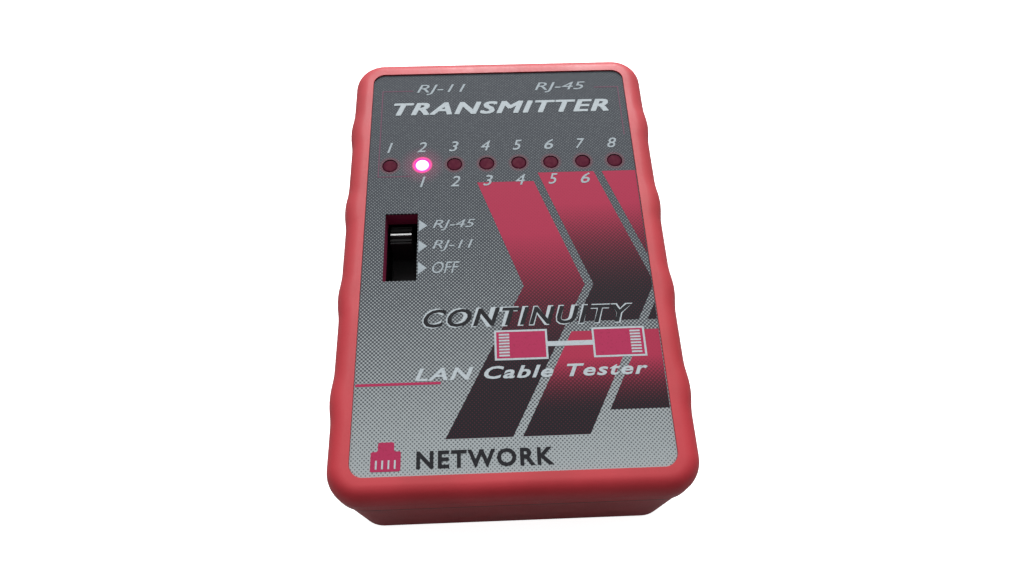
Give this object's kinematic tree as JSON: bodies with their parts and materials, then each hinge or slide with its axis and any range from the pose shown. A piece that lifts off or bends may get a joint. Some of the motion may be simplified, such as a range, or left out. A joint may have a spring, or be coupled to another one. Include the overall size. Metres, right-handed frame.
{
  "type": "network cable tester",
  "caption": "Pocket network cable tester: red two-part hand case with a printed face, a row of LEDs, a slide switch, two modular sockets and a battery door.",
  "frame": {"origin": "centre of the flat back face that the tester lies on", "axes": "+Z out of the printed face, +Y towards the end with the sockets, +X to the right of the face"},
  "size_m": [0.0614, 0.0926, 0.028],
  "materials": {
    "red_abs_front": "moulded ABS, fine spark texture",
    "red_abs_rear": "moulded ABS, fine spark texture",
    "label_film": "printed polycarbonate film",
    "led_off": "clear red epoxy",
    "led_lit": "clear red epoxy, lit",
    "tin": "tinned wire",
    "black_abs": "polished moulding",
    "black_steel": "black plated sheet",
    "phenolic": "pressed phenolic",
    "phosphor_bronze": "spring strip",
    "black_pbt": "moulded PBT",
    "gold_plate": "gold plated wire",
    "fr4": "solder mask on glass epoxy",
    "battery_jacket": "printed metal jacket",
    "nickel": "nickel plated",
    "red_pvc": "PVC sleeve",
    "black_pvc": "PVC sleeve",
    "foam": "closed cell foam",
    "zinc_steel": "zinc plated",
    "epoxy_black": "transfer moulded epoxy",
    "resistor_coat": "lacquer",
    "can_sleeve": "shrink sleeve",
    "ceramic_dip": "dipped ceramic",
    "diode_glass": "glass body"
  },
  "bodies": {
    "case": {"front_shell": "red_abs_front", "rear_shell": "red_abs_rear", "front_label": "label_film", "led_1": "led_off", "led_2": "led_lit", "led_3": "led_off", "led_4": "led_off", "led_5": "led_off", "led_6": "led_off", "led_7": "led_off", "led_8": "led_off", "led_leads": "tin", "switch_base": "phenolic", "switch_terminals": "tin", "switch_cover": "black_steel", "switch_shroud": "black_pbt", "rj45_jack": "black_pbt", "rj45_contacts": "gold_plate", "rj11_jack": "black_pbt", "rj11_contacts": "gold_plate", "battery": "battery_jacket", "battery_terminals": "nickel", "battery_snap": "black_pvc", "battery_wire_red": "red_pvc", "battery_wire_black": "black_pvc", "counter_chip": "epoxy_black", "timer_chip": "epoxy_black", "chip_pins": "tin", "resistors": "resistor_coat", "diodes": "diode_glass", "electrolytic_capacitor": "can_sleeve", "ceramic_capacitors": "ceramic_dip", "circuit_board": "fr4", "case_screws": "zinc_steel", "board_screws": "zinc_steel"},
    "switch_slider": {"switch_knob": "black_abs", "switch_wipers": "phosphor_bronze"},
    "rear_door": {"battery_door": "red_abs_rear", "battery_foam": "foam"}
  },
  "joints": [
    {"name": "switch_slide", "type": "slide", "parent": "case", "child": "switch_slider", "axis": [0, 1, 0], "range_m": [-0.009, 0]},
    {"name": "door_tilt", "type": "hinge", "parent": "case", "child": "rear_door", "pos_m": [0, -0.0423, 0], "axis": [-1, 0, 0], "range_deg": [0, 75]}
  ]
}
